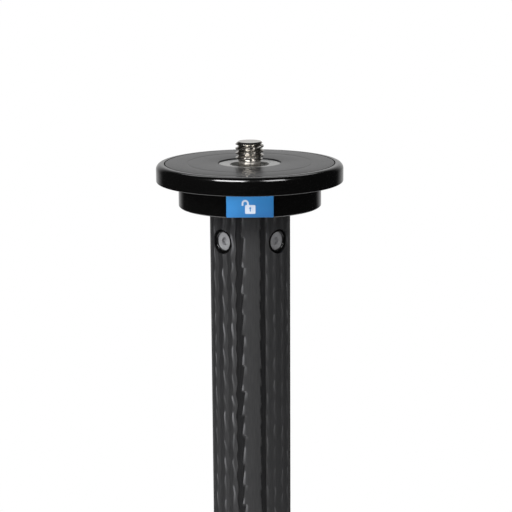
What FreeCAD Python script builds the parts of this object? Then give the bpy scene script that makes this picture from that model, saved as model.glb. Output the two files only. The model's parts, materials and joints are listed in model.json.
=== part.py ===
import FreeCAD, Part
import math
import os
import Sketcher

# Camera tripod with its centre column raised and its legs pushed in.
# The origin lies on the floor under the column's axis, +Z is up and the front is -Y.

os.makedirs("parts", exist_ok=True)
doc = FreeCAD.newDocument("camera_tripod")

# Driving dimensions, in millimetres and degrees

sizes = {
    # round camera plate, its pad and its stud
    "plate_radius": 31.3,
    "plate_height": 6.05,
    "plate_bevel_width": 2.1,
    "plate_bevel_height": 1.9,
    "edge_break": 0.3,
    "cut_past": 1.0,
    "pad_radius": 28.3,
    "pad_height": 2.0,
    "pad_side_gap": 0.3,
    "insert_radius": 10.45,
    "insert_height": 4.0,
    "insert_drop": 0.5,
    "insert_sink_radius": 6.7,
    "stud_crest_radius": 4.7625,
    "stud_neck_radius": 3.8,
    "stud_top": 7.1,
    "thread_pitch": 1.5875,
    "thread_depth": 0.86,
    "thread_turns": 4,
    "stud_tail": 13.0,
    "nut_radius": 6.5,
    "nut_height": 3.2,
    # spigot under the plate and the groove that the latch enters
    "spigot_radius": 11.0,
    "groove_radius": 8.5,
    "spigot_foot": 2.8,
    "latch_travel": 2.5,
    "latch_thickness": 2.4,
    "latch_rail": 2.0,
    "latch_back": 4.0,
    "latch_neck": 5.0,
    "latch_bore_gap": 0.2,
    "latch_play": 0.1,
    # blue lock button with its padlock sign
    "button_width": 15.3,
    "button_front": 24.3,
    "button_depth": 3.5,
    "button_gap": 0.05,
    "button_drop": 0.35,
    "sign_thickness": 0.12,
    "sign_width": 3.25,
    "sign_height": 2.76,
    "sign_drop": 3.2,
    "sign_stroke": 0.75,
    "sign_bow_radius": 1.17,
    "sign_bow_height": 0.78,
    "sign_bow_inset": 1.17,
    "keyhole_width": 0.5,
    "keyhole_height": 1.3,
    # hub that joins the plate to the column
    "hub_radius": 23.9,
    "hub_height": 8.4,
    "hub_wall": 3.0,
    "hub_plug_radius": 12.0,
    "hub_plug_length": 20.0,
    "hub_plug_bore": 4.5,
    "cover_height": 1.6,
    "fit_gap": 0.05,
    "cover_screw_radius": 1.0,
    "cover_screw_head": 1.9,
    "cover_screw_length": 5.0,
    "cover_screw_circle": 18.4,
    "cover_screw_angle": 25.0,
    # centre column and the four screws that key it to the hub
    "column_radius": 13.55,
    "column_wall": 1.5,
    "column_length": 370.0,
    "column_raised": 200.0,
    "key_screw_drop": 10.6,
    "key_cup_radius": 4.15,
    "key_cup_floor": 0.6,
    "key_cup_seat": 9.4,
    "key_cup_rim": 13.0,
    "key_head_radius": 3.0,
    "key_head_height": 2.0,
    "key_socket_width": 2.5,
    "key_socket_depth": 1.2,
    "key_shank_radius": 1.5,
    "key_shank_length": 4.4,
    # end cap and weight hook under the column
    "cap_length": 14.0,
    "cap_flange": 5.0,
    "cap_bevel": 1.0,
    "hook_shank_radius": 2.5,
    "hook_wire_radius": 2.2,
    "hook_bend_radius": 8.2,
    "hook_drop": 6.0,
    "hook_sweep": 285.0,
    "clip_radius": 4.5,
    "clip_height": 1.2,
    "clip_groove": 0.5,
    # spider that carries the legs and the column
    "leg_circle": 38.0,
    "spider_radius": 25.0,
    "spider_below": 6.0,
    "spider_above": 14.0,
    "spider_bevel": 1.5,
    "ear_root": 1.0,
    "sleeve_radius": 18.0,
    "sleeve_depth": 26.0,
    "neck_radius": 18.9,
    "neck_height": 30.0,
    "bush_wall": 1.3,
    "bush_gap": 0.08,
    "ear_thickness": 5.0,
    "ear_radius": 12.0,
    # column lock: split collet, ring nut and its rubber grip
    "collet_seat_wall": 2.6,
    "collet_depth": 8.0,
    "collet_cone_height": 4.6,
    "collet_lip": 1.4,
    "collet_slit": 1.5,
    "ring_base_gap": 6.0,
    "ring_height": 32.0,
    "ring_wall": 4.6,
    "ring_bevel": 1.0,
    "ring_mouth_gap": 0.6,
    "grip_wall": 2.0,
    "grip_height": 20.0,
    # pivot bolts of the legs
    "bolt_radius": 4.0,
    "bolt_head_radius": 6.5,
    "bolt_head_height": 3.5,
    "bolt_socket_width": 5.0,
    "bolt_socket_depth": 2.45,
    "pivot_nut_width": 11.0,
    "pivot_nut_height": 4.0,
    # leg shoulder with its angle stop
    "leg_spread": 23.0,
    "knuckle_radius": 11.0,
    "knuckle_half_width": 11.0,
    "shoulder_waist": 2.0,
    "shoulder_web": 5.0,
    "side_play": 0.05,
    "shoulder_cup_radius": 17.0,
    "shoulder_cup_top": 22.0,
    "shoulder_cup_depth": 32.0,
    "shoulder_floor": 4.0,
    "stop_head_half_width": 9.0,
    "stop_head_front": 9.0,
    "stop_head_back": 8.0,
    "stop_head_top": 20.5,
    "stop_half_width": 7.0,
    "stop_low": 12.5,
    "stop_thickness": 5.0,
    "stop_reach": 10.0,
    "stop_lip": 3.0,
    "stop_lip_rise": 2.0,
    "stop_slot_gap": 0.08,
    "stop_notch_gap": 0.6,
    "stop_face_gap": 0.05,
    "stop_notch_low": 7.0,
    "stop_notch_high": 22.0,
    # three leg sections, from the pivot to the centre of the round foot
    "leg_length": 520.0,
    "tube_wall": 1.3,
    "upper_tube_radius": 14.3,
    "middle_tube_radius": 12.5,
    "lower_tube_radius": 10.7,
    "tube_top_step": 14.0,
    "shim_wall": 0.42,
    "shim_length": 40.0,
    "ferrule_wall": 2.0,
    "ferrule_show": 6.0,
    "finger_length": 12.0,
    "finger_wall": 1.3,
    "tube_seat": 20.0,
    "lock_wall": 2.6,
    "lock_height": 36.0,
    "lock_gap": 0.08,
    "section_gap": 9.0,
    "foot_radius": 13.0,
    "foot_height": 30.0,
    "foot_floor": 8.0,
    "foot_gap": 4.0,
}

sheet = doc.addObject("Spreadsheet::Sheet", "dims")
for row, (alias, value) in enumerate(sizes.items(), start=1):
    sheet.set("A%d" % row, alias)
    sheet.set("B%d" % row, str(value))
    sheet.setAlias("B%d" % row, alias)
doc.recompute()


# A size of the sheet, or a sum of sizes, with the formula that ties it to its cells
class Size:
    def __init__(self, formula, value):
        self.formula = formula
        self.value = value

    def combined(self, other, sign, value):
        return Size("(%s %s %s)" % (self.formula, sign, as_size(other).formula), value)

    def __add__(self, other):
        return self.combined(other, "+", self.value + as_size(other).value)

    def __sub__(self, other):
        return self.combined(other, "-", self.value - as_size(other).value)

    def __mul__(self, other):
        return self.combined(other, "*", self.value * as_size(other).value)

    def __truediv__(self, other):
        return self.combined(other, "/", self.value / as_size(other).value)

    def __neg__(self):
        return as_size(0) - self

    __radd__ = __add__
    __rmul__ = __mul__


def as_size(number):
    return number if isinstance(number, Size) else Size(repr(float(number)), float(number))


class Dimensions:
    def __getattr__(self, alias):
        return Size("dims." + alias, float(sheet.get(alias)))


d = Dimensions()
zero = as_size(0)


# Sketches and features

def new_body(label):
    body = doc.addObject("PartDesign::Body", label)
    body.Label = label
    return body


# The sketch's plane is shifted along its normal and may first be turned about Z
def new_sketch(body, plane, shift=zero, turn=0):
    sketch = body.newObject("Sketcher::SketchObject", body.Name + "_outline")
    support = [item for item in body.Origin.OriginFeatures if item.Role == plane][0]
    sketch.AttachmentSupport = [(support, "")]
    sketch.MapMode = "FlatFace"
    turned_plane = FreeCAD.Rotation(FreeCAD.Vector(0, 1, 0), turn)
    sketch.AttachmentOffset = FreeCAD.Placement(FreeCAD.Vector(0, 0, 0), turned_plane)
    normal = turned_plane.multVec(FreeCAD.Vector(0, 0, 1))
    sketch.setExpression("AttachmentOffset.Base.x", (shift * normal.x).formula)
    sketch.setExpression("AttachmentOffset.Base.z", (shift * normal.z).formula)
    return sketch


def tie(sketch, kind, geometry, point, size):
    axis = -2 if kind == "DistanceX" else -1
    if size.value == 0 and size.formula == zero.formula:
        sketch.addConstraint(Sketcher.Constraint("PointOnObject", geometry, point, axis))
        return
    index = sketch.addConstraint(Sketcher.Constraint(kind, -1, 1, geometry, point, size.value))
    sketch.setExpression("Constraints[%d]" % index, size.formula)


def outline(sketch, corners):
    corners = [(as_size(across), as_size(up)) for across, up in corners]
    vectors = [FreeCAD.Vector(across.value, up.value, 0) for across, up in corners]
    ends = vectors[1:] + vectors[:1]
    lines = [sketch.addGeometry(Part.LineSegment(a, b)) for a, b in zip(vectors, ends)]
    for line, after in zip(lines, lines[1:] + lines[:1]):
        sketch.addConstraint(Sketcher.Constraint("Coincident", line, 2, after, 1))
    for line, (across, up) in zip(lines, corners):
        tie(sketch, "DistanceX", line, 1, across)
        tie(sketch, "DistanceY", line, 1, up)


def circle(sketch, across, up, radius):
    across, up, radius = as_size(across), as_size(up), as_size(radius)
    centre = FreeCAD.Vector(across.value, up.value, 0)
    ring = sketch.addGeometry(Part.Circle(centre, FreeCAD.Vector(0, 0, 1), radius.value))
    tie(sketch, "DistanceX", ring, 3, across)
    tie(sketch, "DistanceY", ring, 3, up)
    index = sketch.addConstraint(Sketcher.Constraint("Radius", ring, radius.value))
    sketch.setExpression("Constraints[%d]" % index, radius.formula)


def feature(body, kind, sketch, **settings):
    made = body.newObject("PartDesign::" + kind, body.Name + "_" + kind.lower())
    made.Profile = sketch
    for name, value in settings.items():
        if isinstance(value, Size):
            made.setExpression(name, value.formula)
        else:
            setattr(made, name, value)
    sketch.Visibility = False
    return made


# A turned piece: its half section is drawn in the XZ plane and goes round the Z axis
def turned(body, corners):
    sketch = new_sketch(body, "XZ_Plane")
    outline(sketch, corners)
    return feature(body, "Revolution", sketch, ReferenceAxis=(sketch, ["V_Axis"]), Angle=360.0)


def turned_cut(body, corners):
    sketch = new_sketch(body, "XZ_Plane")
    outline(sketch, corners)
    return feature(body, "Groove", sketch, ReferenceAxis=(sketch, ["V_Axis"]), Angle=360.0)


# A straight-sided piece, drawn as a rectangle between two corners
def rectangle(sketch, low, high):
    outline(sketch, [low, (high[0], low[1]), high, (low[0], high[1])])


# Pads and pockets rise from the sketch's own shifted plane along its normal
def pad(body, plane, draw, length, shift=zero, turn=0):
    sketch = new_sketch(body, plane, shift, turn)
    draw(sketch)
    return feature(body, "Pad", sketch, Length=length)


def pocket(body, plane, draw, length, shift=zero, turn=0):
    sketch = new_sketch(body, plane, shift, turn)
    draw(sketch)
    return feature(body, "Pocket", sketch, Length=length, Reversed=True)


# Copies spread evenly round the Z axis
def repeated(body, originals, count):
    pattern = body.newObject("PartDesign::PolarPattern", body.Name + "_pattern")
    pattern.Originals = originals
    axis = [item for item in body.Origin.OriginFeatures if item.Role == "Z_Axis"][0]
    pattern.Axis = (axis, [""])
    pattern.Angle = 360.0
    pattern.Occurrences = count
    body.Tip = pattern


# A box-like feature across the piece: from -half to +half along the plane's normal
def pad_across(body, plane, draw, half):
    return pad(body, plane, draw, half * 2, -half)


def pocket_across(body, plane, draw, half):
    return pocket(body, plane, draw, half * 2, -half)


def ring(inner, outer, low, high):
    return [(inner, low), (outer, low), (outer, high), (inner, high)]


# Every sub-part, by its label
nodes = {}


def keep(label, made, placement=FreeCAD.Placement()):
    made.Label = label
    nodes[label] = (made, placement)


# Solids that are worked out from the sheet with Part's own functions
def keep_shape(label, shape, placement=FreeCAD.Placement()):
    made = doc.addObject("Part::Feature", label)
    made.Shape = shape
    keep(label, made, placement)


UP = FreeCAD.Vector(0, 0, 1)
OUT = FreeCAD.Vector(0, 1, 0)


def up(height):
    return FreeCAD.Placement(UP * height, FreeCAD.Rotation())


def at_y(distance, height):
    return OUT * distance + UP * height


def along(radius, length, start, direction):
    return Part.makeCylinder(radius, length, start, direction)


def hex_prism(across_flats, length):
    corner = across_flats / math.sqrt(3)
    turns = [math.radians(60 * index) for index in range(7)]
    corners = [FreeCAD.Vector(corner * math.cos(a), corner * math.sin(a), 0) for a in turns]
    return Part.Face(Part.makePolygon(corners)).extrude(UP * length)


# The legs and the directions they point in, in degrees round the column
legs = {"rear": 90, "left": 210, "right": 330}

# Heights above the floor

spread = math.radians(d.leg_spread.value)
pivot_height = d.leg_length.value * math.cos(spread) + d.foot_radius.value
ring_low = d.spider_above + d.ring_base_gap
ring_top = ring_low + d.ring_height
hub_low_height = pivot_height + ring_top.value + d.column_raised.value
plate_top_height = hub_low_height + d.hub_height.value + d.plate_height.value

# The head is drawn from the plate's top, the column from the hub's underside
# and the spider from the pivots
at_head = up(plate_top_height)
at_column = up(hub_low_height)
at_spider = up(pivot_height)
plate_low = -d.plate_height
hub_low = plate_low - d.hub_height
cover_low = plate_low - d.cover_height
latch_top = cover_low - d.latch_play
latch_low = latch_top - d.latch_thickness
ledge = latch_low - d.latch_play
spigot_low = ledge - d.spigot_foot
hub_inside = d.hub_radius - d.hub_wall


# Camera plate

def head_plate():
    body = new_body("head_plate")
    r = d.plate_radius
    turned(body, [
        (d.stud_neck_radius + d.fit_gap, -d.insert_drop - d.insert_height),
        (d.insert_radius + d.fit_gap, -d.insert_drop - d.insert_height),
        (d.insert_radius + d.fit_gap, -d.pad_height),
        (d.pad_radius + d.pad_side_gap, -d.pad_height),
        (d.pad_radius + d.pad_side_gap, zero),
        (r - d.plate_bevel_width, zero),
        (r, -d.plate_bevel_height),
        (r, plate_low + d.edge_break),
        (r - d.edge_break, plate_low),
        (d.spigot_radius, plate_low),
        (d.spigot_radius, cover_low),
        (d.groove_radius, cover_low),
        (d.groove_radius, ledge),
        (d.spigot_radius, ledge),
        (d.spigot_radius, spigot_low),
        (d.nut_radius + d.fit_gap, spigot_low),
        (d.nut_radius + d.fit_gap, spigot_low + d.nut_height),
        (d.stud_neck_radius + d.fit_gap, spigot_low + d.nut_height),
    ])
    keep("head_plate", body, at_head)


def plate_pad():
    body = new_body("plate_pad")
    turned(body, ring(d.insert_radius + d.fit_gap, d.pad_radius, -d.pad_height, zero))
    keep("plate_pad", body, at_head)


def plate_insert():
    body = new_body("plate_insert")
    top = -d.insert_drop
    low = top - d.insert_height
    turned(body, [
        (d.stud_neck_radius + d.fit_gap, low),
        (d.insert_radius, low),
        (d.insert_radius, top),
        (d.insert_sink_radius, top),
        (d.stud_neck_radius + d.fit_gap, top - (d.insert_sink_radius - d.stud_neck_radius)),
    ])
    keep("plate_insert", body, at_head)


# The stud's thread is a row of rings with the real pitch, crest and depth
def head_stud():
    body = new_body("head_stud")
    crest = d.stud_crest_radius
    root = crest - d.thread_depth
    flat = d.thread_pitch / 8
    rise = (d.thread_pitch - 2 * flat) / 2
    corners = [(zero, d.stud_top), (root, d.stud_top)]
    for turn in range(int(d.thread_turns.value)):
        start = d.stud_top - turn * d.thread_pitch
        corners += [
            (crest, start - rise),
            (crest, start - rise - flat),
            (root, start - 2 * rise - flat),
            (root, start - d.thread_pitch),
        ]
    corners.pop()
    thread_end = d.stud_top - d.thread_turns * d.thread_pitch
    corners += [
        (d.stud_neck_radius, thread_end),
        (d.stud_neck_radius, -d.stud_tail),
        (zero, -d.stud_tail),
    ]
    turned(body, corners)
    keep("head_stud", body, at_head)


def stud_nut():
    body = new_body("stud_nut")
    low = spigot_low
    turned(body, ring(d.stud_neck_radius + d.fit_gap, d.nut_radius, low, low + d.nut_height))
    keep("stud_nut", body, at_head)


# Lock button, its sign and the latch plate behind it

half_button = d.button_width / 2
button_back = d.button_front - d.button_depth


def lock_button():
    body = new_body("lock_button")
    pad(body, "XY_Plane", lambda sketch: rectangle(
        sketch, (-half_button, -d.button_front), (half_button, -button_back),
    ), plate_low - d.button_drop - hub_low, hub_low)
    keep("lock_button", body, at_head)


# Open padlock: one leg of the bow stands on the case and the other hangs free beside it
def lock_symbol():
    thickness = d.sign_thickness.value
    front = FreeCAD.Vector(0, -d.button_front.value, plate_top_height)
    centre = front + UP * (plate_low.value - d.sign_drop.value)
    case_width, case_height = d.sign_width.value, d.sign_height.value
    forward = FreeCAD.Vector(0, -1, 0)

    def bar(low_x, low_z, width, height):
        corner = centre + FreeCAD.Vector(low_x, -thickness, low_z)
        return Part.makeBox(width, thickness, height, corner)

    case = bar(-case_width / 2, -case_height, case_width, case_height)
    hole = bar(-d.keyhole_width.value / 2, -(case_height + d.keyhole_height.value) / 2,
               d.keyhole_width.value, d.keyhole_height.value)
    bow_outer, stroke = d.sign_bow_radius.value, d.sign_stroke.value
    bow_inner = bow_outer - stroke
    leg_x = -case_width / 2 + d.sign_bow_inset.value
    bow_height = d.sign_bow_height.value
    bow_centre = centre + FreeCAD.Vector(leg_x - bow_outer, 0, bow_height)
    bow = along(bow_outer, thickness, bow_centre, forward)
    bow = bow.cut(along(bow_inner, thickness, bow_centre, forward))
    upper = bar(leg_x - 2 * bow_outer, bow_height, 2 * bow_outer, bow_outer)
    right_leg = bar(leg_x - stroke, 0, stroke, bow_height)
    left_leg = bar(leg_x - 2 * bow_outer, 0, stroke, bow_height)
    bow = bow.common(upper).fuse([right_leg, left_leg])
    keep_shape("lock_symbol", case.cut(hole).fuse(bow).removeSplitter())


latch_half = d.spigot_radius + d.latch_bore_gap + d.latch_rail
neck_back = button_back - d.latch_neck


# T-shaped outline: a narrow neck in front of a wider plate
def tee(sketch, neck_half, half, step, back):
    outline(sketch, [
        (-neck_half, -button_back),
        (neck_half, -button_back),
        (neck_half, -step),
        (half, -step),
        (half, back),
        (-half, back),
        (-half, -step),
        (-neck_half, -step),
    ])


def latch_plate():
    body = new_body("latch_plate")
    back = d.spigot_radius + d.latch_bore_gap + d.latch_back
    pad(body, "XY_Plane", lambda sketch: tee(
        sketch, half_button, latch_half, neck_back, back,
    ), d.latch_thickness, latch_low)
    pocket(body, "XY_Plane", lambda sketch: circle(
        sketch, zero, zero, d.spigot_radius + d.latch_bore_gap,
    ), d.latch_thickness, latch_low)
    keep("latch_plate", body, at_head)


# The cover's four screws stand in pairs on either side of the latch plate
def four_circles(sketch, across, up, radius):
    for side_x in (-1, 1):
        for side_y in (-1, 1):
            circle(sketch, across * side_x, up * side_y, radius)


# Hub: a cup for the latch with a plug that goes into the column

key_height = hub_low - d.key_screw_drop
key_low = d.key_cup_seat
key_turn = 45
key_count = 4
cover_screw_turn = math.radians(d.cover_screw_angle.value)
cover_screw_x = d.cover_screw_circle * math.cos(cover_screw_turn)
cover_screw_y = d.cover_screw_circle * math.sin(cover_screw_turn)
channel_half = latch_half + d.latch_play


def hub():
    body = new_body("hub")
    r = d.hub_radius
    plug_low = hub_low - d.hub_plug_length
    bore = d.spigot_radius + d.fit_gap
    turned(body, [
        (d.hub_plug_bore, plug_low),
        (d.hub_plug_radius, plug_low),
        (d.hub_plug_radius, hub_low),
        (r - d.edge_break, hub_low),
        (r, hub_low + d.edge_break),
        (r, plate_low - d.edge_break),
        (r - d.edge_break, plate_low),
        (hub_inside, plate_low),
        (hub_inside, cover_low),
        (bore, cover_low),
        (bore, spigot_low - d.latch_play),
        (d.hub_plug_bore, spigot_low - d.latch_play),
    ])
    slot_half = half_button + d.button_gap
    slot_back = button_back - d.latch_travel - d.latch_play
    channel_back = d.spigot_radius + d.latch_bore_gap + d.latch_back + d.latch_travel + d.latch_play
    pocket(body, "XY_Plane", lambda sketch: tee(
        sketch, slot_half, channel_half, neck_back + d.latch_play, channel_back,
    ), cover_low - ledge, ledge)
    pocket(body, "XY_Plane", lambda sketch: rectangle(
        sketch, (-slot_half, -d.hub_radius - d.cut_past), (slot_half, -slot_back),
    ), d.hub_height, hub_low)
    seat = pocket(body, "XZ_Plane", lambda sketch: circle(
        sketch, zero, key_height, d.key_cup_radius + d.fit_gap,
    ), d.key_cup_rim - key_low, -d.key_cup_rim, key_turn)
    repeated(body, [seat], key_count)
    hole = pocket(body, "XZ_Plane", lambda sketch: circle(
        sketch, zero, key_height, d.key_shank_radius,
    ), key_low, -key_low, key_turn)
    repeated(body, [hole], key_count)
    pocket(body, "XY_Plane", lambda sketch: four_circles(
        sketch, cover_screw_x, cover_screw_y, d.cover_screw_radius,
    ), d.cover_screw_length, cover_low - d.cover_screw_length)
    keep("hub", body, at_head)


def hub_cover():
    body = new_body("hub_cover")
    turned(body, ring(d.spigot_radius + d.fit_gap, hub_inside - d.fit_gap, cover_low, plate_low))
    slot_half = half_button + d.button_gap
    slot_back = button_back - d.latch_travel - d.latch_play
    pocket(body, "XY_Plane", lambda sketch: rectangle(
        sketch, (-slot_half, -d.hub_radius), (slot_half, -slot_back),
    ), d.cover_height, cover_low)
    pocket(body, "XY_Plane", lambda sketch: four_circles(
        sketch, cover_screw_x, cover_screw_y, d.cover_screw_head,
    ), d.cover_height, cover_low)
    keep("hub_cover", body, at_head)


def hub_cover_screws():
    screws = []
    for side_x in (-1, 1):
        for side_y in (-1, 1):
            foot = FreeCAD.Vector(
                side_x * cover_screw_x.value,
                side_y * cover_screw_y.value,
                cover_low.value - d.cover_screw_length.value,
            )
            shank = along(d.cover_screw_radius.value, d.cover_screw_length.value, foot, UP)
            seat = foot + UP * d.cover_screw_length.value
            head = along(d.cover_screw_head.value, d.cover_height.value, seat, UP)
            screws.append(shank.fuse(head).removeSplitter())
    keep_shape("hub_cover_screws", Part.makeCompound(screws), at_head)


# Key screws: each sits in a cup that fills the column's hole

def round_key_angles(make):
    solids = []
    for index in range(key_count):
        solid = make()
        turn = key_turn + index * 360 / key_count
        solid.rotate(FreeCAD.Vector(0, 0, 0), UP, turn)
        solids.append(solid)
    return Part.makeCompound(solids)


def key_screw():
    seat = d.key_cup_seat.value + d.key_cup_floor.value
    height = key_height.value
    head = along(d.key_head_radius.value, d.key_head_height.value, at_y(seat, height), OUT)
    socket_depth = d.key_socket_depth.value
    socket = hex_prism(d.key_socket_width.value, socket_depth)
    socket.rotate(FreeCAD.Vector(0, 0, 0), FreeCAD.Vector(1, 0, 0), -90)
    socket.translate(at_y(seat + d.key_head_height.value - socket_depth, height))
    shank_start = at_y(seat - d.key_shank_length.value, height)
    shank = along(d.key_shank_radius.value, d.key_shank_length.value, shank_start, OUT)
    return head.fuse(shank).removeSplitter().cut(socket)


def key_cup():
    height = key_height.value
    seat = d.key_cup_seat.value
    outer = along(d.key_cup_radius.value, d.key_cup_rim.value - seat, at_y(seat, height), OUT)
    inside_start = seat + d.key_cup_floor.value
    inside = along(
        d.key_head_radius.value + d.fit_gap.value, d.key_cup_rim.value - inside_start,
        at_y(inside_start, height), OUT,
    )
    hole = along(
        d.key_shank_radius.value + d.fit_gap.value, d.key_cup_floor.value,
        at_y(seat, height), OUT,
    )
    return outer.cut(inside).cut(hole)


def hub_screws():
    keep_shape("hub_screws", round_key_angles(key_screw), at_head)


def hub_screw_cups():
    keep_shape("hub_screw_cups", round_key_angles(key_cup), at_head)


# Centre column, drawn from its top downwards

column_low = -d.column_length


def column_tube():
    body = new_body("column_tube")
    inner = d.column_radius - d.column_wall
    turned(body, ring(inner, d.column_radius, column_low, zero))
    hole = pocket(body, "XZ_Plane", lambda sketch: circle(
        sketch, zero, -d.key_screw_drop, d.key_cup_radius + d.fit_gap,
    ), d.column_radius, -d.column_radius, key_turn)
    repeated(body, [hole], key_count)
    keep("column_tube", body, at_column)


def column_end_cap():
    body = new_body("column_end_cap")
    bore = d.hook_shank_radius + d.fit_gap
    plug = d.column_radius - d.column_wall - d.fit_gap
    turned(body, [
        (bore, column_low - d.cap_flange),
        (d.column_radius - d.cap_bevel - d.fit_gap, column_low - d.cap_flange),
        (d.column_radius - d.fit_gap, column_low - d.cap_flange + d.cap_bevel),
        (d.column_radius - d.fit_gap, column_low),
        (plug, column_low),
        (plug, column_low + d.cap_length),
        (bore, column_low + d.cap_length),
    ])
    keep("column_end_cap", body, at_column)


# The hook is an open ring of round wire on a grooved shank
hook_ring_top = column_low - d.cap_flange - d.hook_drop
hook_centre = hook_ring_top - d.hook_bend_radius
clip_low = column_low + d.cap_length
clip_neck = d.hook_shank_radius - d.clip_groove


def weight_hook():
    wire = d.hook_wire_radius.value
    bend = d.hook_bend_radius.value
    centre = FreeCAD.Vector(0, 0, hook_centre.value)
    loop = Part.makeTorus(bend, wire, FreeCAD.Vector(0, 0, 0), UP, 0, 360, d.hook_sweep.value)
    end_turn = math.radians(d.hook_sweep.value)
    end = FreeCAD.Vector(bend * math.cos(end_turn), bend * math.sin(end_turn), 0)
    loop = loop.fuse(Part.makeSphere(wire, end))
    loop.rotate(FreeCAD.Vector(0, 0, 0), FreeCAD.Vector(1, 1, 1), -120)
    loop.translate(centre)
    shank_length = clip_low.value + d.clip_height.value * 2 - hook_ring_top.value
    shank = along(
        d.hook_shank_radius.value, shank_length,
        FreeCAD.Vector(0, 0, hook_ring_top.value), UP,
    )
    groove = along(
        d.hook_shank_radius.value, d.clip_height.value,
        FreeCAD.Vector(0, 0, clip_low.value), UP,
    )
    groove = groove.cut(along(
        clip_neck.value, d.clip_height.value, FreeCAD.Vector(0, 0, clip_low.value), UP,
    ))
    keep_shape("weight_hook", shank.cut(groove).fuse(loop).removeSplitter(), at_column)


def hook_clip():
    body = new_body("hook_clip")
    turned(body, ring(clip_neck, d.clip_radius, clip_low, clip_low + d.clip_height))
    keep("hook_clip", body, at_column)


# Spider, drawn from the height of the leg pivots

neck_top = d.spider_above + d.neck_height
bush_inner = d.column_radius + d.bush_gap
bush_outer = bush_inner + d.bush_wall
collet_seat = bush_inner + d.collet_seat_wall
collet_low = neck_top - d.collet_depth
lean_cos = Size("cos(dims.leg_spread * 1 deg)", math.cos(spread))
lean_sin = Size("sin(dims.leg_spread * 1 deg)", math.sin(spread))


# A point of the spread leg's frame, seen from the pivot line, as radius and height
def leaned(out, rise):
    radius = d.leg_circle + out * lean_cos - rise * lean_sin
    return (radius, out * lean_sin + rise * lean_cos)


def spider():
    body = new_body("spider")
    turned(body, [
        (bush_outer, -d.sleeve_depth),
        (d.sleeve_radius, -d.sleeve_depth),
        (d.sleeve_radius, -d.spider_below),
        (d.spider_radius, -d.spider_below),
        (d.spider_radius, d.spider_above - d.spider_bevel),
        (d.spider_radius - d.spider_bevel, d.spider_above),
        (d.neck_radius, d.spider_above),
        (d.neck_radius, neck_top),
        (collet_seat, neck_top),
        (collet_seat, collet_low),
        (bush_outer, collet_low),
    ])
    ear_inside = d.knuckle_half_width + d.side_play
    root = bush_outer + d.ear_root
    originals = []
    for start in (-ear_inside - d.ear_thickness, ear_inside):
        originals.append(pad(body, "YZ_Plane", lambda sketch: outline(sketch, [
            (root, -d.spider_below), (d.leg_circle, -d.ear_radius),
            (d.leg_circle, d.ear_radius), (root, d.spider_above),
        ]), d.ear_thickness, start))
        originals.append(pad(body, "YZ_Plane", lambda sketch: circle(
            sketch, d.leg_circle, zero, d.ear_radius,
        ), d.ear_thickness, start))
    notch = [
        leaned(-d.stop_reach - d.stop_face_gap, d.stop_notch_low),
        leaned(d.stop_reach * 2, d.stop_notch_low),
        leaned(d.stop_reach * 2, d.stop_notch_high),
        leaned(-d.stop_reach - d.stop_face_gap, d.stop_notch_high),
    ]
    originals.append(pocket_across(
        body, "YZ_Plane", lambda sketch: outline(sketch, notch),
        d.stop_head_half_width + d.stop_notch_gap,
    ))
    originals.append(pocket_across(body, "YZ_Plane", lambda sketch: circle(
        sketch, d.leg_circle, zero, d.bolt_radius + d.fit_gap,
    ), ear_inside + d.ear_thickness))
    repeated(body, originals, len(legs))
    keep("spider", body, at_spider)


def column_bushing():
    body = new_body("column_bushing")
    turned(body, ring(bush_inner, bush_outer, -d.sleeve_depth, collet_low))
    keep("column_bushing", body, at_spider)


def column_collet():
    body = new_body("column_collet")
    lip = collet_seat + d.collet_lip
    cone_low = neck_top + d.collet_lip / 2
    cone_top = neck_top + d.collet_cone_height
    seat = collet_seat - d.fit_gap
    turned(body, [
        (bush_inner, collet_low),
        (seat, collet_low),
        (seat, neck_top),
        (lip, neck_top),
        (lip, cone_low),
        (bush_inner + d.collet_lip, cone_top),
        (bush_inner, cone_top),
    ])
    pocket_across(body, "XZ_Plane", lambda sketch: rectangle(
        sketch, (-lip - d.cut_past, collet_low - d.cut_past),
        (-bush_inner / 2, cone_top + d.cut_past),
    ), d.collet_slit / 2)
    keep("column_collet", body, at_spider)


ring_inner = d.neck_radius + d.lock_gap
ring_outer = ring_inner + d.ring_wall


def column_lock_ring():
    body = new_body("column_lock_ring")
    gap = d.lock_gap * 2
    lip = collet_seat + d.collet_lip + gap
    cone_low = neck_top + d.collet_lip / 2 + gap
    cone_top = neck_top + d.collet_cone_height + gap
    mouth = d.column_radius + d.ring_mouth_gap
    turned(body, [
        (ring_inner, ring_low),
        (ring_outer - d.ring_bevel, ring_low),
        (ring_outer, ring_low + d.ring_bevel),
        (ring_outer, ring_top - d.ring_bevel * 2),
        (ring_outer - d.ring_bevel * 2, ring_top),
        (mouth, ring_top),
        (mouth, cone_top),
        (bush_inner + d.collet_lip + gap, cone_top),
        (lip, cone_low),
        (ring_inner, cone_low),
    ])
    keep("column_lock_ring", body, at_spider)


def lock_ring_grip():
    body = new_body("lock_ring_grip")
    low = ring_low + (d.ring_height - d.grip_height) / 2 - d.ring_bevel
    turned(body, ring(ring_outer, ring_outer + d.grip_wall, low, low + d.grip_height))
    keep("lock_ring_grip", body, at_spider)


# One copy at each leg's pivot, with the leg's own direction as +X
def at_pivots(make):
    solids = []
    for azimuth in legs.values():
        solid = make()
        solid.translate(FreeCAD.Vector(d.leg_circle.value, 0, 0))
        solid.rotate(FreeCAD.Vector(0, 0, 0), UP, azimuth)
        solids.append(solid)
    return Part.makeCompound(solids)


ear_outside = d.knuckle_half_width + d.side_play + d.ear_thickness


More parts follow.
